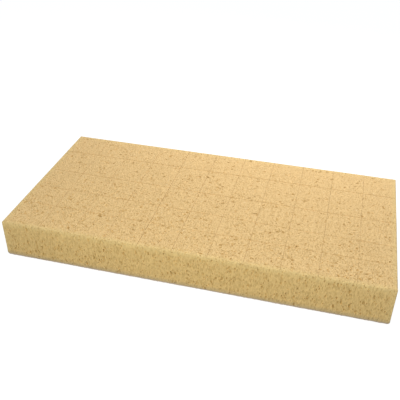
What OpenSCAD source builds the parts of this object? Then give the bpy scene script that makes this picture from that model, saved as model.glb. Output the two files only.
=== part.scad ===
// Cleaning sponge: an open-cell foam pad, scored with a grid of knife slits, on a thin loop
// fabric. The pad lies on its fabric, with its length along X and its front edge towards -Y.

/* [Foam pad] */
// Length of the pad
pad_length = 280; // [220:5:360]
// Width of the pad
pad_width = 140; // [110:5:200]
// Height of the foam, from the fabric to its top
foam_height = 28.5; // [20:0.5:45]
// Radius of the upright corners
corner_radius = 1.6; // [0.8:0.1:4]
// Radius of the softened edge round the top
top_edge_radius = 1.2; // [0.6:0.1:3]

/* [Loop backing] */
// Thickness of the loop fabric
backing_thickness = 1.5; // [0.8:0.1:3]

/* [Slits] */
// Depth of the crosswise slits below the top
cross_slit_depth = 10; // [9.5:0.5:15]
// Depth of the lengthwise slits, which a lighter pass of the knives leaves less deep
long_slit_depth = 9; // [4:0.5:9]
// Opening of a slit at the top, where the cut foam springs apart
slit_mouth = 0.3; // [0.15:0.05:0.8]
// Opening of a slit at its foot
slit_foot = 0.1; // [0.05:0.01:0.14]
// Distance of the first crosswise slit from the left end
first_cross_slit = 29.5; // [15:0.5:40]
// Distance from one crosswise slit to the next
cross_slit_pitch = 25; // [18:0.5:50]
// Distances of the lengthwise slits from the back edge, at the left end
long_slits_left = [28.9, 60.7, 86, 110.4]; // [15:0.1:180]
// Distances of the same slits from the back edge, at the right end
long_slits_right = [29.6, 64.4, 93.3, 113.8]; // [15:0.1:180]
// Narrowest strip of foam that is left between the last slit and an edge
narrowest_strip = 12; // [10:1:25]

/* [Pores] */
// Mean width of the large pores
pore_width = 2.8; // [1.6:0.1:3.4]
// Mean length of the pores in the sides, where rising gas drew the cells out upwards
side_pore_length = 4.2; // [2:0.1:5]
// Mean depth of the large pores
pore_depth = 1.8; // [1:0.1:3]
// Large pores along each side of a panel between slits
pores_per_panel_side = 2; // [1:1:2]
// Rows of pores in the sides of the pad
side_pore_rows = 2; // [1:1:2]
// Least width of whole foam between a pore and a slit, an edge or another pore
pore_clearance = 1; // [0.8:0.1:2]
// Seed of the pores' places and shapes
pore_seed = 11; // [1:1:99]

/* [Hidden] */

// Steps of a full circle in the rounded corners
$fn = 32;
// How far a cutter reaches past the surface that it cuts
overcut = 0.5;

pad_top = backing_thickness + foam_height;
left_end = -pad_length / 2;
back_edge = pad_width / 2;

// A burst cell: its walls, its floor against its mouth, and how far it strays from its mean
cell_walls = 6;
cell_taper = 0.55;
corner_stray = 0.25;
size_stray = 0.35;

// Chance values from 0 to 1, with a run of its own for each numbered pore: two for its place,
// one for its width and length, one for its depth, and two for each corner of its mouth
draws_per_pore = 4 + 2 * cell_walls;
draws = rands(0, 1, 700 * draws_per_pore, pore_seed);
function draw(pore, k) = draws[(pore * draws_per_pore + k) % len(draws)];
function stray(share, pore, k) = 1 + share * (2 * draw(pore, k) - 1);

// Crosswise slits as distances from the left end, and the edges of the strips between them
cross_slits = [for (x = [first_cross_slit : cross_slit_pitch : pad_length - narrowest_strip]) x];
cross_lines = concat([0], cross_slits, [pad_length]);

// Lengthwise slits as [left, right] distances from the back edge; one off the pad is left out
long_slits = [
    for (k = [0 : len(long_slits_left) - 1])
        let (ends = [long_slits_left[k], long_slits_right[k]])
        if (max(ends) <= pad_width - narrowest_strip) ends
];
long_lines = concat([[0, 0]], long_slits, [[pad_width, pad_width]]);

columns = len(cross_lines) - 1;
strips = len(long_lines) - 1;
pores_per_panel = pores_per_panel_side * pores_per_panel_side;
pores_per_side_strip = pores_per_panel_side * side_pore_rows;

// Numbers of the first pore on the top, front, back, left and right
first_pores = [
    0,
    columns * strips * pores_per_panel,
    columns * (strips * pores_per_panel + pores_per_side_strip),
    columns * (strips * pores_per_panel + 2 * pores_per_side_strip),
    columns * (strips * pores_per_panel + 2 * pores_per_side_strip) + strips * pores_per_side_strip
];

// Distance of a lengthwise line from the back edge, x from the left end
function long_line_at(ends, x) = ends[0] + (ends[1] - ends[0]) * x / pad_length;

// Places for grid[0] by grid[1] cells between two corners, each [u, v, number], kept apart
function scatter(low, high, grid, cell, first) = [
    for (c = [0 : grid[0] - 1], r = [0 : grid[1] - 1])
        let (
            pore = first + c * grid[1] + r,
            share = [(high[0] - low[0]) / grid[0], (high[1] - low[1]) / grid[1]],
            taken = cell * (1 + size_stray) + [pore_clearance, pore_clearance],
            room = [max(0, share[0] - taken[0]), max(0, share[1] - taken[1])]
        )
        [
            low[0] + (c + 0.5) * share[0] + room[0] * (draw(pore, 0) - 0.5),
            low[1] + (r + 0.5) * share[1] + room[1] * (draw(pore, 1) - 0.5),
            pore
        ]
];

module rounded_rectangle(size, radius) {
    square([size[0] - 2 * radius, size[1]], center = true);
    square([size[0], size[1] - 2 * radius], center = true);
    for (x = [-1, 1], y = [-1, 1])
        translate([x * (size[0] / 2 - radius), y * (size[1] / 2 - radius)])
            circle(radius);
}

// Foam before it is cut: three crossed extrusions, so that every outer edge is softened
module foam_block() {
    translate([0, 0, backing_thickness])
        intersection() {
            linear_extrude(foam_height)
                rounded_rectangle([pad_length, pad_width], corner_radius);
            rotate([90, 0, 0])
                linear_extrude(pad_width + 2 * overcut, center = true)
                    rounded_rectangle([pad_length, 2 * foam_height], top_edge_radius);
            rotate([90, 0, 90])
                linear_extrude(pad_length + 2 * overcut, center = true)
                    rounded_rectangle([pad_width, 2 * foam_height], top_edge_radius);
        }
}

// Knife slit along +X from the origin, narrower at its foot than at its mouth
module slit(length, depth) {
    mouth = slit_mouth / 2;
    foot = slit_foot / 2;
    rotate([90, 0, 90])
        linear_extrude(length)
            polygon([[-mouth, overcut], [-mouth, 0], [-foot, -depth],
                     [foot, -depth], [mouth, 0], [mouth, overcut]]);
}

module cross_slit_cuts() {
    for (x = cross_slits)
        translate([left_end + x, -back_edge - overcut, pad_top])
            rotate(90)
                slit(pad_width + 2 * overcut, cross_slit_depth);
}

module long_slit_cuts() {
    for (ends = long_slits) {
        turn = atan2(ends[0] - ends[1], pad_length);
        translate([left_end, back_edge - ends[0], pad_top])
            rotate(turn)
                translate([-overcut, 0, 0])
                    slit(pad_length / cos(turn) + 2 * overcut, long_slit_depth);
    }
}

// One burst cell, cut down from the XY plane: an uneven mouth that narrows towards its floor
module cell_pit(width, length, pore) {
    half = [width, length] / 2 * stray(size_stray, pore, 2);
    depth = pore_depth * stray(size_stray, pore, 3);
    flare = 1 + (1 - cell_taper) * overcut / depth;
    mouth = [
        for (k = [0 : cell_walls - 1])
            let (
                turn = 360 / cell_walls * (k + corner_stray * draw(pore, 4 + k)),
                reach = 1 - corner_stray * draw(pore, 4 + cell_walls + k)
            )
            [half[0] * cos(turn), half[1] * sin(turn)] * reach
    ];
    mirror([0, 0, 1])
        translate([0, 0, -overcut])
            linear_extrude(depth + overcut, scale = cell_taper / flare)
                polygon(mouth * flare);
}

// Pores of the panels between the slits, on the top
module top_pores() {
    for (c = [0 : columns - 1], r = [0 : strips - 1]) {
        sides = [cross_lines[c], cross_lines[c + 1]];
        back = max([for (x = sides) long_line_at(long_lines[r], x)]);
        front = min([for (x = sides) long_line_at(long_lines[r + 1], x)]);
        places = scatter([sides[0], back], [sides[1], front],
                         [pores_per_panel_side, pores_per_panel_side],
                         [pore_width, pore_width],
                         first_pores[0] + (c * strips + r) * pores_per_panel);
        for (p = places)
            translate([left_end + p[0], back_edge - p[1], pad_top])
                cell_pit(pore_width, pore_width, p[2]);
    }
}

// Pores of one side, between lines that are distances along it; drawn flat, facing +Z
module side_pores(lines, first) {
    for (c = [0 : len(lines) - 2]) {
        places = scatter([lines[c], 0], [lines[c + 1], foam_height - top_edge_radius],
                         [pores_per_panel_side, side_pore_rows],
                         [pore_width, side_pore_length],
                         first + c * pores_per_side_strip);
        for (p = places)
            translate([p[0], p[1], 0])
                cell_pit(pore_width, side_pore_length, p[2]);
    }
}

module all_side_pores() {
    // Front and back, measured from the left end
    for (side = [0, 1])
        mirror([0, side, 0])
            translate([left_end, -back_edge, backing_thickness])
                rotate([90, 0, 0])
                    side_pores(cross_lines, first_pores[1 + side]);
    // Left and right ends, measured from the back edge
    for (side = [0, 1])
        mirror([side, 0, 0])
            translate([left_end, back_edge, backing_thickness])
                rotate([90, 0, -90])
                    side_pores([for (ends = long_lines) ends[side]], first_pores[3 + side]);
}

module foam_pad() {
    color([0.91, 0.76, 0.52])
        difference() {
            foam_block();
            cross_slit_cuts();
            long_slit_cuts();
            top_pores();
            all_side_pores();
        }
}

module loop_backing() {
    color([0.9, 0.83, 0.78])
        linear_extrude(backing_thickness)
            rounded_rectangle([pad_length, pad_width], corner_radius);
}

loop_backing();
foam_pad();
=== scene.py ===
import math
import random

import bmesh
import bpy
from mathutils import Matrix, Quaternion, Vector, noise


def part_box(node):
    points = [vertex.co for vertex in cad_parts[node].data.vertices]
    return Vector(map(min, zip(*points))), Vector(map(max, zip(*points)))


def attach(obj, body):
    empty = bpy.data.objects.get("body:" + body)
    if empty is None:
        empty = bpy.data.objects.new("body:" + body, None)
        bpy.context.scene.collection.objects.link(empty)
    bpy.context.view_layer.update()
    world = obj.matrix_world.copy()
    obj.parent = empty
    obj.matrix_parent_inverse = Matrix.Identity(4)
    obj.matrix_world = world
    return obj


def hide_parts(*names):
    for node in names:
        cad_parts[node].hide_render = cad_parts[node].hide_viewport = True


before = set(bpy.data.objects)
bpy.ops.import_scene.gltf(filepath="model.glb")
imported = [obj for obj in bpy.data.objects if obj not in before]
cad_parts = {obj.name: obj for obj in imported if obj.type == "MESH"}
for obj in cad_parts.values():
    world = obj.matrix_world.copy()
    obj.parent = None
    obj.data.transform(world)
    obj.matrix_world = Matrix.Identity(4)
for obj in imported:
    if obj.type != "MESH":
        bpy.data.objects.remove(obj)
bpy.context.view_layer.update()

mm = 0.001
scene = bpy.context.scene


# Node writing: an expression on wires adds the Math nodes that work it out

class Wire:
    def __init__(self, maker, socket):
        self.maker = maker
        self.socket = socket

    def __add__(self, other):
        return self.maker.maths("ADD", self, other)

    def __radd__(self, other):
        return self.maker.maths("ADD", other, self)

    def __sub__(self, other):
        return self.maker.maths("SUBTRACT", self, other)

    def __rsub__(self, other):
        return self.maker.maths("SUBTRACT", other, self)

    def __mul__(self, other):
        return self.maker.maths("MULTIPLY", self, other)

    def __rmul__(self, other):
        return self.maker.maths("MULTIPLY", other, self)

    def __truediv__(self, other):
        return self.maker.maths("DIVIDE", self, other)

    def __rtruediv__(self, other):
        return self.maker.maths("DIVIDE", other, self)

    def __pow__(self, other):
        return self.maker.maths("POWER", self, other)

    def __rpow__(self, other):
        return self.maker.maths("POWER", other, self)

    def other(self, name):  # another output of the same node
        return Wire(self.maker, self.socket.node.outputs[name])


class NodeMaker:
    def __init__(self, tree):
        self.tree = tree

    # One node: its settings first, then its sockets by name or place, each a value or a wire
    def node(self, kind, settings=None, sockets=None, out=0):
        made = self.tree.nodes.new(kind)
        for name, value in (settings or {}).items():
            setattr(made, name, value)
        for name, value in (sockets or {}).items():
            if isinstance(value, Wire):
                self.tree.links.new(value.socket, made.inputs[name])
            else:
                made.inputs[name].default_value = value
        return Wire(self, made.outputs[out]) if len(made.outputs) else made

    def maths(self, operation, a, b=0.0, clamp=False):
        kind = "ShaderNodeMath"
        return self.node(kind, {"operation": operation, "use_clamp": clamp}, {0: a, 1: b})

    def smooth(self, value, low, high):  # 0 below low, 1 above high, eased between
        settings = {"interpolation_type": "SMOOTHSTEP"}
        return self.node("ShaderNodeMapRange", settings, {0: value, 1: low, 2: high})

    def split(self, vector):
        x = self.node("ShaderNodeSeparateXYZ", {}, {0: vector})
        return x, x.other("Y"), x.other("Z")

    def vector(self, x, y, z):
        return self.node("ShaderNodeCombineXYZ", {}, {0: x, 1: y, 2: z})

    def blend(self, amount, a, b):  # colour a at 0, colour b at 1
        sockets = {0: amount, 6: a, 7: b}
        return self.node("ShaderNodeMix", {"data_type": "RGBA"}, sockets, out=2)

    def stretch(self, vector, scale):
        kind = "ShaderNodeVectorMath"
        return self.node(kind, {"operation": "MULTIPLY"}, {0: vector, 1: scale})

    def noise(self, vector, scale, detail=2.0, roughness=0.5):
        sockets = {"Vector": vector, "Scale": scale, "Detail": detail, "Roughness": roughness}
        return self.node("ShaderNodeTexNoise", {}, sockets)

    def drift(self, vector, scale):  # three slow noises as one vector
        return self.node("ShaderNodeTexNoise", {}, {"Vector": vector, "Scale": scale}, "Color")

    def cells(self, vector, scale, out="Distance", feature="F1"):
        sockets = {"Vector": vector, "Scale": scale}
        return self.node("ShaderNodeTexVoronoi", {"feature": feature}, sockets, out)

    def bump(self, height, distance, strength):
        sockets = {"Height": height, "Distance": distance, "Strength": strength}
        return self.node("ShaderNodeBump", {}, sockets)


def between(ends, share):  # the first end at a share of 0, the second at 1
    return ends[0] + (ends[1] - ends[0]) * share


def startMaterial(name):
    material = bpy.data.materials.new(name)
    material.use_nodes = True
    material.node_tree.nodes.clear()
    return material, NodeMaker(material.node_tree)


def endMaterial(maker, surface):
    maker.node("ShaderNodeOutputMaterial", {}, {"Surface": surface})


def colour(red, green, blue):  # a screen colour of 0 to 255 as the shader's linear one
    def linear(c):
        c = c / 255
        return c / 12.92 if c <= 0.04045 else ((c + 0.055) / 1.055) ** 2.4
    return (linear(red), linear(green), linear(blue), 1.0)


# Camera, at the photograph's viewing angle

view = {
    "place": (87.5, -373.9, 285.8),  # mm from the middle of the pad's underside
    "elevation": 33.76,  # degrees down to the pad
    "azimuth": 14.36,  # degrees that it looks to the left of straight on
    "roll": -0.715,  # degrees
    "lens": 53.5,  # mm
    "sensor": 36,  # mm
    "clip": (0.01, 50),  # m
}


def makeCamera(view):
    elevation = math.radians(view["elevation"])
    azimuth = math.radians(view["azimuth"])
    forward = Vector((-math.sin(azimuth) * math.cos(elevation),
                      math.cos(azimuth) * math.cos(elevation),
                      -math.sin(elevation)))
    camera = bpy.data.objects.new("camera", bpy.data.cameras.new("camera"))
    scene.collection.objects.link(camera)
    camera.location = Vector(view["place"]) * mm
    level = forward.to_track_quat("-Z", "Y")
    camera.rotation_mode = "QUATERNION"
    camera.rotation_quaternion = Quaternion(forward, math.radians(view["roll"])) @ level
    camera.data.sensor_width = view["sensor"]
    camera.data.lens = view["lens"]
    camera.data.clip_start, camera.data.clip_end = view["clip"]
    scene.camera = camera


makeCamera(view)
scene.view_settings.view_transform = "Standard"
print("camera placed")


# Studio: a pale floor, a soft surround, and a wide lamp each behind and in front of the pad

studio = {
    "surround": 0.47,  # light of the surround, where 1 would light a surface as its own colour
    "surroundTint": (0.93, 1.0, 1.12),
    "lampSize": 0.24,  # m
    "lampTarget": (0.02, 0.0, 0.015),  # m
    "backPlace": (0.06, 0.25, 0.30),  # m
    "backPower": 0.9,  # W
    "backTint": (1.09, 1.0, 0.94),
    "frontPlace": (0.0, -0.30, 0.20),
    "frontPower": 0.45,
    "frontTint": (1.06, 1.0, 0.80),
    "floorSize": 6.0,  # m
    "floorShade": 0.6,  # grey that lights the pad from below
    "shadowDepth": 0.3,  # how much of the shadow the camera sees
    "floorGlow": 0.86,  # the rest of the white that the camera sees
}


def seenRay(maker):  # 1 on rays that show the background, 0 on rays that light the pad
    camera = maker.node("ShaderNodeLightPath", out="Is Camera Ray")
    glossy, through = camera.other("Is Glossy Ray"), camera.other("Is Transmission Ray")
    return maker.maths("MAXIMUM", camera, maker.maths("MAXIMUM", glossy, through))


def makeSurround(studio):
    world = bpy.data.worlds.new("surround")
    world.use_nodes = True
    world.node_tree.nodes.clear()
    maker = NodeMaker(world.node_tree)
    seen = seenRay(maker)
    tint = maker.blend(seen, (*studio["surroundTint"], 1), (1, 1, 1, 1))
    strength = studio["surround"] + (1.0 - studio["surround"]) * seen
    light = maker.node("ShaderNodeBackground", {}, {"Color": tint, "Strength": strength})
    maker.node("ShaderNodeOutputWorld", {}, {"Surface": light})
    scene.world = world


def makeLamp(studio, side):
    lamp = bpy.data.lights.new(side + " lamp", "AREA")
    lamp.shape = "SQUARE"
    lamp.size = studio["lampSize"]
    lamp.energy = studio[side + "Power"]
    lamp.color = studio[side + "Tint"]
    hung = bpy.data.objects.new(side + " lamp", lamp)
    hung.location = studio[side + "Place"]
    aim = Vector(studio["lampTarget"]) - hung.location
    hung.rotation_euler = aim.to_track_quat("-Z", "Y").to_euler()
    scene.collection.objects.link(hung)


def makeFloor(studio):
    half = studio["floorSize"] / 2
    mesh = bpy.data.meshes.new("floor")
    corners = [(-half, -half, 0), (half, -half, 0), (half, half, 0), (-half, half, 0)]
    mesh.from_pydata(corners, [], [(0, 1, 2, 3)])
    floor = bpy.data.objects.new("floor", mesh)
    scene.collection.objects.link(floor)
    material, maker = startMaterial("white floor")
    shade, depth = studio["floorShade"], studio["shadowDepth"]
    plain = maker.node("ShaderNodeBsdfDiffuse", {}, {"Color": (shade, shade, shade, 1)})
    dim = maker.node("ShaderNodeBsdfDiffuse", {}, {"Color": (depth, depth, depth, 1)})
    glow = maker.node("ShaderNodeEmission", {}, {"Strength": studio["floorGlow"]})
    bright = maker.node("ShaderNodeAddShader", {}, {0: dim, 1: glow})
    seen = seenRay(maker)
    endMaterial(maker, maker.node("ShaderNodeMixShader", {}, {0: seen, 1: plain, 2: bright}))
    mesh.materials.append(material)


makeSurround(studio)
makeLamp(studio, "back")
makeLamp(studio, "front")
makeFloor(studio)
print("studio ready")


# Foam finish: pale yellow skin, small cells in colour and relief, golden painted shade in the
# pores, cuts and cells' hollows, a painted highlight along the edges and painted shade at the foot

foamFinish = {
    "skin": colour(243, 209, 150),
    "skinWarm": colour(215, 179, 119),
    "sideSkin": colour(236, 203, 139),
    "sideWarm": colour(214, 181, 117),
    # painted highlight along the pad's edges
    "edge": colour(238, 210, 146),
    # painted shade inside the pores and cuts, this one in the top and the next in the sides
    "pore": colour(197, 161, 97),
    "sidePore": colour(203, 173, 112),
    "foot": colour(198, 179, 140),  # painted shade, darker towards the foot by the fabric
    "topBand": (2.2 * mm, 0.6 * mm),  # depths over which the sides' finish turns to the top's
    "poreBand": (0.1 * mm, 1.05 * mm),  # depths over which painted shade darkens a cut cell
    "edgeBand": (-1.0 * mm, 6.0 * mm),  # distances over which the painted edge highlight fades
    "footHeight": 4.0 * mm,
    "footShare": 0.7,  # share of the foot's painted shade, at the fabric
    "cellShape": (1.55, 1.05, 0.45),  # the cells are narrow along the pad, and tall in its sides
    "patchScale": 40.0,  # features per metre, here and below
    "mottleScale": 850.0,
    "cellScale": 720.0,
    "fineCellScale": 1500.0,
    "bendScale": 300.0,
    "bend": 1.2 * mm,  # how far the rows of cells stray
    "cellRim": (0.1, 0.75),  # from a cell's floor to its rim
    "fineCellRim": (0.03, 0.3),  # from a fine cell's wall to its floor
    "closed": 0.35,  # share of the cells that no cut opened
    "fineClosed": 0.2,
    "warmth": 0.3,  # mean share of the skin's warm colour
    "mottleTone": 2.15,  # strengths of what the colour varies with; those of the cells give painted shade in their hollows
    "cellTone": 1.08,
    "patchTone": 0.1,
    "fineCellTone": 0.4,
    "grading": (0.14, 0.25),  # how much stronger the cells are at the left end, and in front
    "reliefHeight": 0.35 * mm,
    "reliefStrength": 0.9,
    "roughness": 0.92,
    "specular": 0.12,
}


# Depth below the nearest of the outer faces, and below the next one
def depthsBelowFaces(maker, place, low, high):
    x, y, z = maker.split(place)
    centre = (low + high) / 2
    half = (high - low) / 2
    inX = half.x - maker.maths("ABSOLUTE", x - centre.x)
    inY = half.y - maker.maths("ABSOLUTE", y - centre.y)
    inZ = high.z - z
    least = maker.maths("MINIMUM", inX, inY)
    most = maker.maths("MAXIMUM", inX, inY)
    nearest = maker.maths("MINIMUM", least, inZ)
    second = maker.maths("MAXIMUM", least, maker.maths("MINIMUM", most, inZ))
    return nearest, second


# The block's cells are larger towards the front of the top, and a little towards its left
def coarseness(maker, place, onTop, grading, high):
    x, y = maker.split(place)[:2]
    return 1.0 - onTop * (grading[0] * x / high.x + grading[1] * y / high.y)


def makeFoamMaterial(finish, low, high):
    material, maker = startMaterial("cut foam")
    place = maker.node("ShaderNodeTexCoord", out="Object")
    height = maker.split(place)[2]
    depth, edgeDepth = depthsBelowFaces(maker, place, low, high)
    onTop = maker.smooth(height, *[high.z - below for below in finish["topBand"]])
    drawn = maker.stretch(place, finish["cellShape"])
    bent = maker.node("ShaderNodeVectorMath", {"operation": "MULTIPLY_ADD"}, {
        0: maker.drift(drawn, finish["bendScale"]), 1: (finish["bend"],) * 3, 2: drawn})
    patches = maker.noise(place, finish["patchScale"], detail=3.0)
    mottle = maker.noise(drawn, finish["mottleScale"], detail=3.0, roughness=0.6)
    cell = maker.smooth(maker.cells(bent, finish["cellScale"]), *finish["cellRim"])
    chance = maker.split(maker.cells(bent, finish["cellScale"], "Color"))[0]
    wall = maker.cells(bent, finish["fineCellScale"], feature="DISTANCE_TO_EDGE")
    fine = maker.smooth(wall, *finish["fineCellRim"])
    fineChance = maker.split(maker.cells(bent, finish["fineCellScale"], "Color"))[1]
    burst = (1.0 - cell) * maker.smooth(chance, finish["closed"], 1.0)  # hollow of an open cell, which gets painted shade
    fineOpen = fine * maker.smooth(fineChance, finish["fineClosed"], 1.0)
    coarse = coarseness(maker, place, onTop, finish["grading"], high)
    # All parts but the hollows vary about 0, so their strengths leave the mean colour alone
    mottled = (mottle - 0.5) * finish["mottleTone"] * coarse + finish["warmth"]
    # The open cells' hollows, coarse and fine, get painted shade
    celled = (finish["cellTone"] * burst * coarse + finish["patchTone"] * (patches - 0.5)
              + finish["fineCellTone"] * (fineOpen - 0.3))
    tone = maker.maths("ADD", mottled, celled, clamp=True)
    skin = maker.blend(tone, finish["skin"], finish["skinWarm"])
    side = maker.blend(tone, finish["sideSkin"], finish["sideWarm"])
    outer = maker.blend(onTop, side, skin)
    # Painted highlight, lighter along the pad's edges
    edgeHighlight = (1.0 - maker.smooth(edgeDepth, *finish["edgeBand"])) * (1.0 - 0.5 * tone)
    highlightedEdges = maker.blend(edgeHighlight, outer, finish["edge"])
    # Painted shade, darker towards the foot
    footShade = 1.0 - maker.smooth(height, low.z, low.z + finish["footHeight"])
    footShaded = maker.blend(finish["footShare"] * footShade, highlightedEdges, finish["foot"])
    # Painted shade inside the pores and cuts, darker and more golden with depth below the skin
    hollow = maker.blend(onTop, finish["sidePore"], finish["pore"])
    base = maker.blend(maker.smooth(depth, *finish["poreBand"]), footShaded, hollow)
    relief = maker.bump(cell - 0.4 * fineOpen + 0.5 * mottle, finish["reliefHeight"],
                        finish["reliefStrength"])
    sockets = {"Base Color": base, "Roughness": finish["roughness"],
               "Specular IOR Level": finish["specular"], "Normal": relief}
    endMaterial(maker, maker.node("ShaderNodeBsdfPrincipled", {}, sockets))
    return material


# Foam shape

foam = {
    "edgeRadius": 1.0 * mm,
    "edgeSteps": 4,
    "panelStep": 6 * mm,  # size of the blank's faces
    "sway": 0.12 * mm,  # how far the cut faces wander inwards
    "swayScales": (45.0, 160.0),  # broad and fine waves per metre
    "crossFirst": 29.5 * mm,  # from the left end
    "crossPitch": 25 * mm,
    "crossCount": 10,
    "longLeft": [28.9, 60.7, 86.0, 110.4],  # mm from the back edge, at the left end
    "longRight": [29.6, 64.4, 93.3, 113.8],
    "crossMouth": 0.19 * mm,  # a cut's mouth is a small groove, with the cut itself below
    "crossOpen": [1.65, 1.3, 1.3, 1.65, 1.3, 1.1, 1.1, 0.9, 0.9, 0.75],  # each cut's share of it
    "crossDepth": 10 * mm,
    "longMouth": 0.5 * mm,
    "longOpen": [1.25, 1.15, 1.05, 0.95],
    "longDepth": 9 * mm,
    "grooveDepth": 0.5 * mm,
    "cutWidth": 0.03 * mm,  # of the cut itself
    "overcut": 1 * mm,  # how far the knives reach past the pad
    "slitStep": 3 * mm,  # length of a cut's straight bits
    "slitWander": 0.22 * mm,
    "wanderScale": 50.0,  # bends per metre
    "gape": (0.8, 1.2),  # least and greatest share of a cut's own width, along it
    "gapeScale": 70.0,
    "poreGap": 1.68 * mm,  # least distance between two pores' middles
    "poreDensity": 320000.0,  # pores per square metre, before that gap thins them
    "upward": (0.2, 0.8),  # how far up a face points, over which the sides turn into the top
    "poreShare": (0.55, 0.85),  # share of those that are kept, in the sides and in the top
    "grading": (0.14, 0.25),  # how much larger and closer they are at the left end, and in front
    "slitRoom": (0.5 * mm, 1.1 * mm),  # distances from a slit: no pore below the first, all above
    "poreSmall": 0.46 * mm,  # radius
    "poreLarge": 1.04 * mm,
    "smallSpread": (0.8, 1.2),  # chance shares of the small radius
    "rarity": 4.8,  # the higher, the fewer pores are large
    "rarityShare": (0.55, 1.0),  # how much of that counts, in the sides and in the top
    "growth": (0.7, 1.0),  # how much of a large pore's extra radius counts, likewise
    "edgeRoom": (0.8 * mm, 3.5 * mm),  # distances from an outer edge over which pores get larger
    "edgeGrowth": 0.25,  # how much of the extra radius counts at the edge itself
    "drawnOut": 1.1,  # how much longer than wide the pores of the sides are
    "drawnShare": (1.0, 0.4),  # how much of that counts, in the sides and in the top
    "drawnSpread": (0.4, 1.4),  # chance shares of it
    "lengthSpread": (1.0, 1.3),  # chance lengths against the width, before pores are drawn out
    "swing": (0.5, 2.0),  # radians over which pores turn by chance, in the sides and in the top
    "leastDepth": 0.25 * mm,
    "depthSpread": (0.2, 0.7),  # chance shares of the radius that add to it
    "depthShare": (1.5, 0.9),  # what depths are multiplied by, in the sides and in the top
    "bowls": 6,  # shapes of each kind of pore
    "bowlRadii": (0.72 * mm, 1.02 * mm),  # radii from which a pore is of the second or third kind
    "sharpestFold": 38,  # degrees, inside the cuts
    "mouthFold": 14,  # degrees, round a cut's mouth, so that the skin beside it stays flat
    "skinDepth": 0.35 * mm,  # down to here it counts as skin
    "sliverWidth": 0.004 * mm,
    "shortestEdge": 0.005 * mm,
    "seed": 4,
}


def bake(piece, tree, values):  # the piece's mesh after the tree, with the one material it sets
    layer = piece.modifiers.new(tree.name, "NODES")
    layer.node_group = tree
    for item in tree.interface.items_tree:
        if item.in_out == "INPUT" and item.name in values:
            layer[item.identifier] = values[item.name]
    shown = piece.evaluated_get(bpy.context.evaluated_depsgraph_get())
    mesh = bpy.data.meshes.new_from_object(shown)
    piece.modifiers.clear()
    mesh.materials.clear()
    mesh.materials.append(values["Material"])
    for face in mesh.polygons:
        face.material_index = 0
    return mesh


def countTriangles(mesh):
    return sum(len(face.vertices) - 2 for face in mesh.polygons)


def shadeCuts(mesh, foam, low, high):  # mends the cut mesh, then shades gentle folds as one
    shape = bmesh.new()
    shape.from_mesh(mesh)
    bmesh.ops.triangulate(shape, faces=shape.faces[:])
    # Cuts that just miss each other leave edges of next to no length, which are closed up
    bmesh.ops.dissolve_degenerate(shape, dist=foam["shortestEdge"], edges=shape.edges[:])
    bmesh.ops.triangulate(shape, faces=[face for face in shape.faces if len(face.verts) > 3])
    # Pores that only just touch leave an edge with four faces, which is drawn in to a point
    touching = [edge for edge in shape.edges if len(edge.link_faces) > 2]
    bmesh.ops.collapse(shape, edges=touching)
    bare = [edge for edge in shape.edges if not edge.link_faces]
    bmesh.ops.delete(shape, geom=bare, context="EDGES")
    atSkin = set()
    for v in shape.verts:
        x, y, z = v.co
        if min(x - low.x, high.x - x, y - low.y, high.y - y, high.z - z) < foam["skinDepth"]:
            atSkin.add(v)
    outer = {face for face in shape.faces if all(v in atSkin for v in face.verts)}
    # A sliver between two cuts has no sure direction, so nothing is shaded across it
    slivers = set()
    for face in shape.faces:
        face.smooth = True
        longest = max(edge.calc_length() for edge in face.edges)
        if face.calc_area() < 0.5 * longest * foam["sliverWidth"]:
            slivers.add(face)
    for edge in shape.edges:
        sure = not any(face in slivers for face in edge.link_faces)
        onSkin = any(face in outer for face in edge.link_faces)
        sharpest = foam["mouthFold"] if onSkin else foam["sharpestFold"]
        edge.smooth = sure and edge.calc_face_angle(0.0) < math.radians(sharpest)
    shape.to_mesh(mesh)
    shape.free()


def startTree(name, sockets):
    tree = bpy.data.node_groups.new(name, "GeometryNodeTree")
    tree.interface.new_socket("Geometry", in_out="INPUT", socket_type="NodeSocketGeometry")
    for label, kind in sockets.items():
        tree.interface.new_socket(label, in_out="INPUT", socket_type="NodeSocket" + kind)
    tree.interface.new_socket("Geometry", in_out="OUTPUT", socket_type="NodeSocketGeometry")
    maker = NodeMaker(tree)
    first = maker.node("NodeGroupInput")
    given = {name: first.other(name) for name in ("Geometry", *sockets)}
    return tree, maker, given


def endTree(maker, geometry, material):
    solid = maker.node("GeometryNodeRealizeInstances", {}, {0: geometry})
    shown = maker.node("GeometryNodeSetMaterial", {}, {0: solid, "Material": material})
    maker.node("NodeGroupOutput", {}, {0: shown})


def carve(maker, solid, cutters):
    settings = {"operation": "DIFFERENCE", "solver": "MANIFOLD"}
    return maker.node("GeometryNodeMeshBoolean", settings, {0: solid, 1: cutters})


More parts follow.
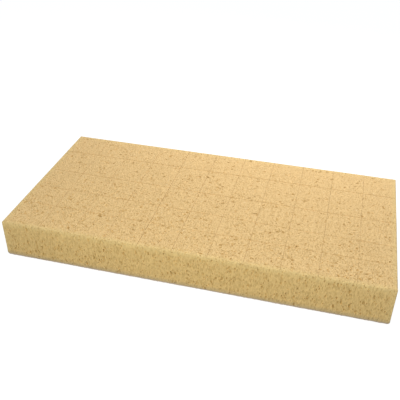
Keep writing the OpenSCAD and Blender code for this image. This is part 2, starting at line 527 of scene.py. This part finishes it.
def makeBlank(foam, low, high):
    mesh = bmesh.new()
    bmesh.ops.create_cube(mesh, size=1)
    size = high - low
    for v in mesh.verts:
        v.co = Vector(((v.co.x + 0.5) * size.x + low.x,
                       (v.co.y + 0.5) * size.y + low.y,
                       (v.co.z + 0.5) * size.z + low.z))
    softened = [e for e in mesh.edges if max(v.co.z for v in e.verts) > high.z - mm]
    bmesh.ops.bevel(mesh, geom=softened, offset=foam["edgeRadius"], segments=foam["edgeSteps"],
                    profile=0.5, affect="EDGES")
    for axis in range(3):
        count = round(size[axis] / foam["panelStep"])
        for i in range(1, count):
            across = Vector((0, 0, 0))
            across[axis] = 1
            place = low + across * (size[axis] * i / count)
            everything = mesh.verts[:] + mesh.edges[:] + mesh.faces[:]
            bmesh.ops.bisect_plane(mesh, geom=everything, plane_co=place, plane_no=across)
    mesh.normal_update()
    # The cut faces wander, but not the foot, which lies on the fabric
    moves = {}
    for v in mesh.verts:
        if v.co.z > low.z + 0.1 * mm:
            broad, fine = [noise.noise(v.co * scale) for scale in foam["swayScales"]]
            moves[v] = -v.normal * foam["sway"] * max(0.0, 0.5 + 0.5 * broad + 0.25 * fine)
    for v, move in moves.items():
        v.co += move
    bmesh.ops.triangulate(mesh, faces=mesh.faces[:])  # flat faces cut cleanly
    blank = bpy.data.meshes.new("foam blank")
    mesh.to_mesh(blank)
    mesh.free()
    return blank


# One closed cutter with a mouth of about radius 1 at height 0 and a floor at height -1
def makeBowl(name, walls, rings, rng):
    reach = [rng.uniform(0.75, 1.1) for _ in range(walls)]
    turns = [2 * math.pi * (k + rng.uniform(-0.25, 0.25)) / walls for k in range(walls)]
    points = [(math.cos(t) * r * wide, math.sin(t) * r * wide, height)
              for height, wide in rings for t, r in zip(turns, reach)]
    floor = len(points)
    points.append((rng.uniform(-0.25, 0.25), rng.uniform(-0.25, 0.25), -1.0))
    faces = [tuple(range(walls))]
    for ring in range(len(rings) - 1):
        for k in range(walls):
            a = ring * walls + k
            b = ring * walls + (k + 1) % walls
            faces.append((a, a + walls, b + walls, b))
    last = (len(rings) - 1) * walls
    faces += [(last + k, floor, last + (k + 1) % walls) for k in range(walls)]
    mesh = bpy.data.meshes.new(name)
    mesh.from_pydata(points, [], faces)
    mesh.update()
    return bpy.data.objects.new(name, mesh)


def makeBowls(count, rng):  # plain small ones first, then the middling ones, then the large
    kinds = [
        (6, [(0.7, 1.2), (0.0, 1.0)]),
        (8, [(0.6, 1.15), (0.0, 1.0), (-0.6, 0.78)]),
        (12, [(0.5, 1.12), (0.0, 1.0), (-0.4, 0.92), (-0.8, 0.62)]),
    ]
    shelf = bpy.data.collections.new("pore cutters")
    for kind, (walls, rings) in enumerate(kinds):
        for k in range(count):
            shelf.objects.link(makeBowl("bowl%d%02d" % (kind, k), walls, rings, rng))
    return shelf


# The crosswise slits repeat at one pitch, and the lengthwise ones are slanted lines
def distanceFromSlits(maker, place, foam, low, high):
    x, y = maker.split(place)[:2]
    nearest = maker.maths("PINGPONG", x - (low.x + foam["crossFirst"]), foam["crossPitch"] / 2)
    share = (x - low.x) / (high.x - low.x)
    for left, right in zip(foam["longLeft"], foam["longRight"]):
        line = high.y - left * mm - (right - left) * mm * share
        nearest = maker.maths("MINIMUM", nearest, maker.maths("ABSOLUTE", y - line))
    return nearest


def makePoreTree(foam, low, high):
    tree, maker, given = startTree("foam pores", {
        "Bowls": "Collection", "Bowls of a Kind": "Int", "Gap": "Float", "Density": "Float",
        "Small": "Float", "Large": "Float", "Rarity": "Float", "Drawn Out": "Float",
        "Seed": "Int", "Material": "Material"})
    place = maker.node("GeometryNodeInputPosition")
    normalZ = maker.split(maker.node("GeometryNodeInputNormal"))[2]
    cutOpen = maker.maths("GREATER_THAN", normalZ, -0.5)  # all faces but the underside
    level = maker.smooth(normalZ, *foam["upward"])
    # The top has more pores than the sides, and keeps its slits clear
    share = between(foam["poreShare"], level) * coarseness(
        maker, place, level, foam["grading"], high)
    clear = maker.smooth(distanceFromSlits(maker, place, foam, low, high), *foam["slitRoom"])
    sockets = {"Mesh": given["Geometry"], "Selection": cutOpen, "Distance Min": given["Gap"],
               "Density Max": given["Density"], "Seed": given["Seed"],
               "Density Factor": share * (1.0 - level * (1.0 - clear))}
    settings = {"distribute_method": "POISSON"}
    points = maker.node("GeometryNodeDistributePointsOnFaces", settings, sockets)
    facing = points.other("Normal")
    onTop = maker.maths("GREATER_THAN", maker.split(facing)[2], 0.6)  # 0 in the sides

    def chance(offset):  # from 0 to 1, another for each pore
        return maker.node("FunctionNodeRandomValue", {}, {"Seed": given["Seed"] + offset}, out=1)

    # Each cutter faces outwards; in the sides its length also stands nearly upright
    out = maker.node("FunctionNodeAlignRotationToVector", {"axis": "Z"}, {"Vector": facing})
    upright = maker.node("FunctionNodeAlignRotationToVector", {"axis": "Y", "pivot_axis": "Z"},
                         {"Rotation": out, "Vector": (0, 0, 1)})
    swing = (chance(11) - 0.5) * between(foam["swing"], onTop)
    spin = maker.node("FunctionNodeAxisAngleToRotation", {}, {"Axis": (0, 0, 1), "Angle": swing})
    turned = maker.node("FunctionNodeRotateRotation", {"rotation_space": "LOCAL"},
                        {"Rotation": upright, "Rotate By": spin})
    # A few pores are large; those beside an outer edge are small
    coarse = coarseness(maker, place, onTop, foam["grading"], high)
    rarity = given["Rarity"] * between(foam["rarityShare"], onTop)
    size = chance(12) ** (rarity * (2.0 - coarse))
    edgeDepth = depthsBelowFaces(maker, place, low, high)[1]
    room = between((foam["edgeGrowth"], 1.0), maker.smooth(edgeDepth, *foam["edgeRoom"]))
    growth = size * room * between(foam["growth"], onTop)
    radius = (given["Small"] * between(foam["smallSpread"], chance(16))
              + (given["Large"] - given["Small"]) * growth)
    drawn = given["Drawn Out"] * between(foam["drawnShare"], onTop)
    tall = (between(foam["lengthSpread"], chance(14))
            + drawn * between(foam["drawnSpread"], chance(13)))
    depth = foam["leastDepth"] + radius * between(foam["depthSpread"], chance(15))
    deep = depth * between(foam["depthShare"], onTop)
    middling, large = [maker.maths("GREATER_THAN", radius, least) for least in foam["bowlRadii"]]
    kind = middling + large
    # Each pore takes one bowl of its kind
    count = given["Bowls of a Kind"]
    pick = maker.maths("FLOOR", chance(17) * (count - 0.001)) + count * kind
    bowls = maker.node("GeometryNodeCollectionInfo", {}, {
        "Collection": given["Bowls"], "Separate Children": True, "Reset Children": True})
    cutters = maker.node("GeometryNodeInstanceOnPoints", {}, {
        "Points": points, "Instance": bowls, "Pick Instance": True, "Instance Index": pick,
        "Rotation": turned, "Scale": maker.vector(radius, radius * tall, deep)})
    endTree(maker, carve(maker, given["Geometry"], cutters), given["Material"])
    return tree


def makeSlitTree(foam):
    tree, maker, given = startTree("foam slits", {
        "Cross Slits": "Object", "Cross Knife": "Object", "Long Slits": "Object",
        "Long Knife": "Object", "Wander": "Float", "Material": "Material"})
    place = maker.node("GeometryNodeInputPosition")
    off = maker.node("ShaderNodeVectorMath", {"operation": "SUBTRACT"},
                     {0: maker.drift(place, foam["wanderScale"]), 1: (0.5, 0.5, 0.5)})
    move = maker.node("ShaderNodeVectorMath", {"operation": "SCALE"},
                      {0: maker.stretch(off, (1, 1, 0)), "Scale": given["Wander"]})
    gape = maker.node("GeometryNodeInputRadius") * between(
        foam["gape"], maker.noise(place, foam["gapeScale"], detail=1.0))

    def cut(pad, paths, knife):
        lines = maker.node("GeometryNodeObjectInfo", {}, {0: paths}, out="Geometry")
        profile = maker.node("GeometryNodeObjectInfo", {}, {0: knife}, out="Geometry")
        fine = maker.node("GeometryNodeResampleCurve", {"mode": "LENGTH"},
                          {"Curve": lines, "Length": foam["slitStep"]})
        wavy = maker.node("GeometryNodeSetPosition", {}, {"Geometry": fine, "Offset": move})
        blades = maker.node("GeometryNodeCurveToMesh", {}, {
            "Curve": wavy, "Profile Curve": profile, "Scale": gape, "Fill Caps": True})
        apart = maker.node("GeometryNodeSplitToInstances", {"domain": "FACE"},
                           {0: blades, "Group ID": maker.node("GeometryNodeInputMeshIsland")})
        return carve(maker, pad, apart)

    crossed = cut(given["Geometry"], given["Cross Slits"], given["Cross Knife"])
    scored = cut(crossed, given["Long Slits"], given["Long Knife"])
    endTree(maker, scored, given["Material"])
    return tree


def drawLines(name, lines, widths, closed=False):
    curve = bpy.data.curves.new(name, "CURVE")
    curve.dimensions = "3D"
    for places, width in zip(lines, widths):
        spline = curve.splines.new("POLY")
        spline.points.add(len(places) - 1)
        spline.use_cyclic_u = closed
        for point, place in zip(spline.points, places):
            point.co = (*place, 1)
            point.radius = width
    return bpy.data.objects.new(name, curve)


def crossPaths(foam, low, high):
    over = foam["overcut"]
    places = [low.x + foam["crossFirst"] + i * foam["crossPitch"]
              for i in range(foam["crossCount"])]
    lines = [((x, low.y - over, high.z), (x, high.y + over, high.z)) for x in places]
    return drawLines("cross slits", lines, foam["crossOpen"])


def longPaths(foam, low, high):
    over = foam["overcut"]
    lines = [((low.x - over, high.y - left * mm, high.z),
              (high.x + over, high.y - right * mm, high.z))
             for left, right in zip(foam["longLeft"], foam["longRight"])]
    return drawLines("long slits", lines, foam["longOpen"])


def knife(name, foam, mouth, depth):  # section of one cut, drawn flat with its foot towards +Y
    half, cut = mouth / 2, foam["cutWidth"] / 2
    groove, over = foam["grooveDepth"], foam["overcut"]
    outline = [(half, -over), (half, 0), (cut, groove), (0, depth), (-cut, groove),
               (-half, 0), (-half, -over)]
    return drawLines(name, [[(x, y, 0) for x, y in outline]], [1.0], closed=True)


def makeFoam(foam, finish):
    low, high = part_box("foam_pad")
    rng = random.Random(foam["seed"])
    material = makeFoamMaterial(finish, low, high)
    piece = bpy.data.objects.new("foamPad", makeBlank(foam, low, high))
    scene.collection.objects.link(piece)
    pores = {
        "Bowls": makeBowls(foam["bowls"], rng), "Bowls of a Kind": foam["bowls"],
        "Gap": foam["poreGap"], "Density": foam["poreDensity"],
        "Small": foam["poreSmall"], "Large": foam["poreLarge"], "Rarity": foam["rarity"],
        "Drawn Out": foam["drawnOut"], "Seed": foam["seed"], "Material": material}
    piece.data = bake(piece, makePoreTree(foam, low, high), pores)
    slits = {
        "Cross Slits": crossPaths(foam, low, high),
        "Cross Knife": knife("cross knife", foam, foam["crossMouth"], foam["crossDepth"]),
        "Long Slits": longPaths(foam, low, high),
        "Long Knife": knife("long knife", foam, foam["longMouth"], foam["longDepth"]),
        "Wander": foam["slitWander"], "Material": material}
    piece.data = bake(piece, makeSlitTree(foam), slits)
    shadeCuts(piece.data, foam, low, high)
    print("foam pad cut, %d triangles" % countTriangles(piece.data))
    return piece


foamPad = makeFoam(foam, foamFinish)
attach(foamPad, "root")
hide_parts("foam_pad")


# Loop fabric under the foam: a thin slab with close tufts of loops all over its underside

fabric = {
    "cornerRadius": 1.6 * mm,
    "step": 0.8 * mm,  # size of the underside's faces
    "inset": 0.05 * mm,  # how far its edge stands behind the foam's
    "turnUp": 0.25 * mm,  # how far the underside's rim is drawn in
    "edgeRows": (0.35, 1.0),  # heights of the edge's points, from the underside to the foam
    "ruffle": 0.25 * mm,  # how far the edge wanders inwards
    "ruffleScale": 350.0,
    "nap": 0.45 * mm,  # height of the tufts
    "tuftShare": 0.7,  # of that height; the rest is wider lumps
    "tuftScale": 520.0,  # tufts per metre
    "tuftBand": (0.1, 0.75),  # from a tuft's tip to its foot
    "lumpScale": 95.0,
    "lumpBand": (0.3, 0.7),
}

fabricFinish = {
    "face": colour(236, 218, 207),
    "shade": colour(222, 201, 190),
    # painted shade on the fabric's edge
    "edge": colour(182, 168, 144),
    "edgeBand": (0.5 * mm, 1.0 * mm),  # heights over which the edge's painted shade comes in
    "edgeShare": 0.8,
    "patchScale": 30.0,
    "loopScale": 1300.0,
    "napScale": 700.0,
    "fibreScale": 2600.0,
    "gapBand": (0.2, 0.9),  # from a loop to the gap beside it
    "shading": 0.25,  # mean share of the shade
    "patchTone": 0.7,  # strengths of what the colour varies with; the gaps' one is painted shade between the loops
    "gapTone": 0.6,
    "napTone": 1.4,
    "fibreTone": 0.9,
    "reliefHeight": 0.2 * mm,
    "reliefStrength": 0.8,
    "roughness": 0.95,
    "specular": 0.1,
    "sheen": 0.15,
}


def makeFabricMaterial(finish, low):
    material, maker = startMaterial("brushed loop fabric")
    place = maker.node("ShaderNodeTexCoord", out="Object")
    height = maker.split(place)[2] - low.z
    patches = maker.noise(place, finish["patchScale"], detail=3.0)
    nap = maker.noise(place, finish["napScale"], detail=3.0, roughness=0.7)
    along = maker.noise(maker.stretch(place, (1, 0.2, 1)), finish["fibreScale"])
    across = maker.noise(maker.stretch(place, (0.2, 1, 1)), finish["fibreScale"])
    fibres = maker.maths("MAXIMUM", along, across)
    gaps = maker.smooth(maker.cells(place, finish["loopScale"]), *finish["gapBand"])
    # The gaps between the loops get painted shade
    looped = (nap - 0.5) * finish["napTone"] + finish["gapTone"] * gaps + finish["shading"]
    brushed = finish["patchTone"] * (patches - 0.5) + finish["fibreTone"] * (fibres - 0.55)
    tone = maker.maths("ADD", looped, brushed, clamp=True)
    face = maker.blend(tone, finish["face"], finish["shade"])
    # Painted shade on the edge, above the underside
    edgeShade = maker.smooth(height, *finish["edgeBand"])
    base = maker.blend(edgeShade * finish["edgeShare"], face, finish["edge"])
    relief = maker.bump(nap + 0.8 * fibres - 0.7 * gaps, finish["reliefHeight"],
                        finish["reliefStrength"])
    sockets = {"Base Color": base, "Roughness": finish["roughness"],
               "Specular IOR Level": finish["specular"], "Sheen Weight": finish["sheen"],
               "Normal": relief}
    endMaterial(maker, maker.node("ShaderNodeBsdfPrincipled", {}, sockets))
    return material


def roundCorner(x, y, halfX, halfY, radius):  # moves a square grid's point inside the corner
    overX = abs(x) - (halfX - radius)
    overY = abs(y) - (halfY - radius)
    if overX <= 0 or overY <= 0:
        return x, y
    pull = max(overX, overY) / math.hypot(overX, overY)
    return (math.copysign(halfX - radius + overX * pull, x),
            math.copysign(halfY - radius + overY * pull, y))


def makeSlab(fabric, low, high):
    halfX = (high.x - low.x) / 2 - fabric["inset"]
    halfY = (high.y - low.y) / 2 - fabric["inset"]
    columns = round(2 * halfX / fabric["step"])
    rows = round(2 * halfY / fabric["step"])

    def flatPoint(i, j):
        return roundCorner(halfX * (2 * i / columns - 1), halfY * (2 * j / rows - 1),
                           halfX, halfY, fabric["cornerRadius"])

    under = low.z + fabric["nap"]
    points = [(*flatPoint(i, j), under) for j in range(rows + 1) for i in range(columns + 1)]
    faces = []
    for j in range(rows):
        for i in range(columns):
            a = j * (columns + 1) + i
            faces.append((a, a + columns + 1, a + columns + 2, a + 1))
    rim = ([(i, 0) for i in range(columns)] + [(columns, j) for j in range(rows)]
           + [(i, rows) for i in range(columns, 0, -1)] + [(0, j) for j in range(rows, 0, -1)])
    lower = [j * (columns + 1) + i for i, j in rim]
    # The underside turns up into the edge, which is ruffled where it was cut
    turn = fabric["turnUp"]
    for index in lower:
        x, y, z = points[index]
        points[index] = (x * (1 - turn / halfX), y * (1 - turn / halfY), z)
    for height in fabric["edgeRows"]:
        upper = []
        for i, j in rim:
            x, y = flatPoint(i, j)
            wave = 0.5 + 0.5 * noise.noise(Vector((x, y, height)) * fabric["ruffleScale"])
            drawIn = 1 - fabric["ruffle"] / halfY * wave
            upper.append(len(points))
            points.append((x * drawIn, y * drawIn, under + (high.z - under) * height))
        for k in range(len(rim)):
            n = (k + 1) % len(rim)
            faces.append((lower[k], lower[n], upper[n], upper[k]))
        lower = upper
    faces.append(tuple(lower))
    mesh = bpy.data.meshes.new("fabric slab")
    mesh.from_pydata(points, [], faces)
    mesh.update()
    return mesh


def makeFabricTree(fabric):
    tree, maker, given = startTree("loop fabric", {
        "Nap": "Float", "Tuft Scale": "Float", "Lump Scale": "Float", "Material": "Material"})
    place = maker.node("GeometryNodeInputPosition")
    normalZ = maker.split(maker.node("GeometryNodeInputNormal"))[2]
    below = maker.maths("LESS_THAN", normalZ, -0.3)  # 1 on the underside
    tufts = 1.0 - maker.smooth(maker.cells(place, given["Tuft Scale"]), *fabric["tuftBand"])
    lumps = maker.smooth(maker.noise(place, given["Lump Scale"], detail=1.0), *fabric["lumpBand"])
    share = fabric["tuftShare"]
    drop = (share * tufts + (1.0 - share) * lumps) * given["Nap"] * -1.0
    looped = maker.node("GeometryNodeSetPosition", {}, {
        "Geometry": given["Geometry"], "Selection": below, "Offset": maker.vector(0.0, 0.0, drop)})
    smooth = maker.node("GeometryNodeSetShadeSmooth", {}, {0: looped, "Shade Smooth": below})
    endTree(maker, smooth, given["Material"])
    return tree


def makeFabric(fabric, finish):
    low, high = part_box("loop_backing")
    piece = bpy.data.objects.new("loopBacking", makeSlab(fabric, low, high))
    scene.collection.objects.link(piece)
    values = {"Nap": fabric["nap"], "Tuft Scale": fabric["tuftScale"],
              "Lump Scale": fabric["lumpScale"], "Material": makeFabricMaterial(finish, low)}
    piece.data = bake(piece, makeFabricTree(fabric), values)
    print("loop fabric laid, %d triangles" % countTriangles(piece.data))
    return piece


loopBacking = makeFabric(fabric, fabricFinish)
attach(loopBacking, "root")
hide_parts("loop_backing")
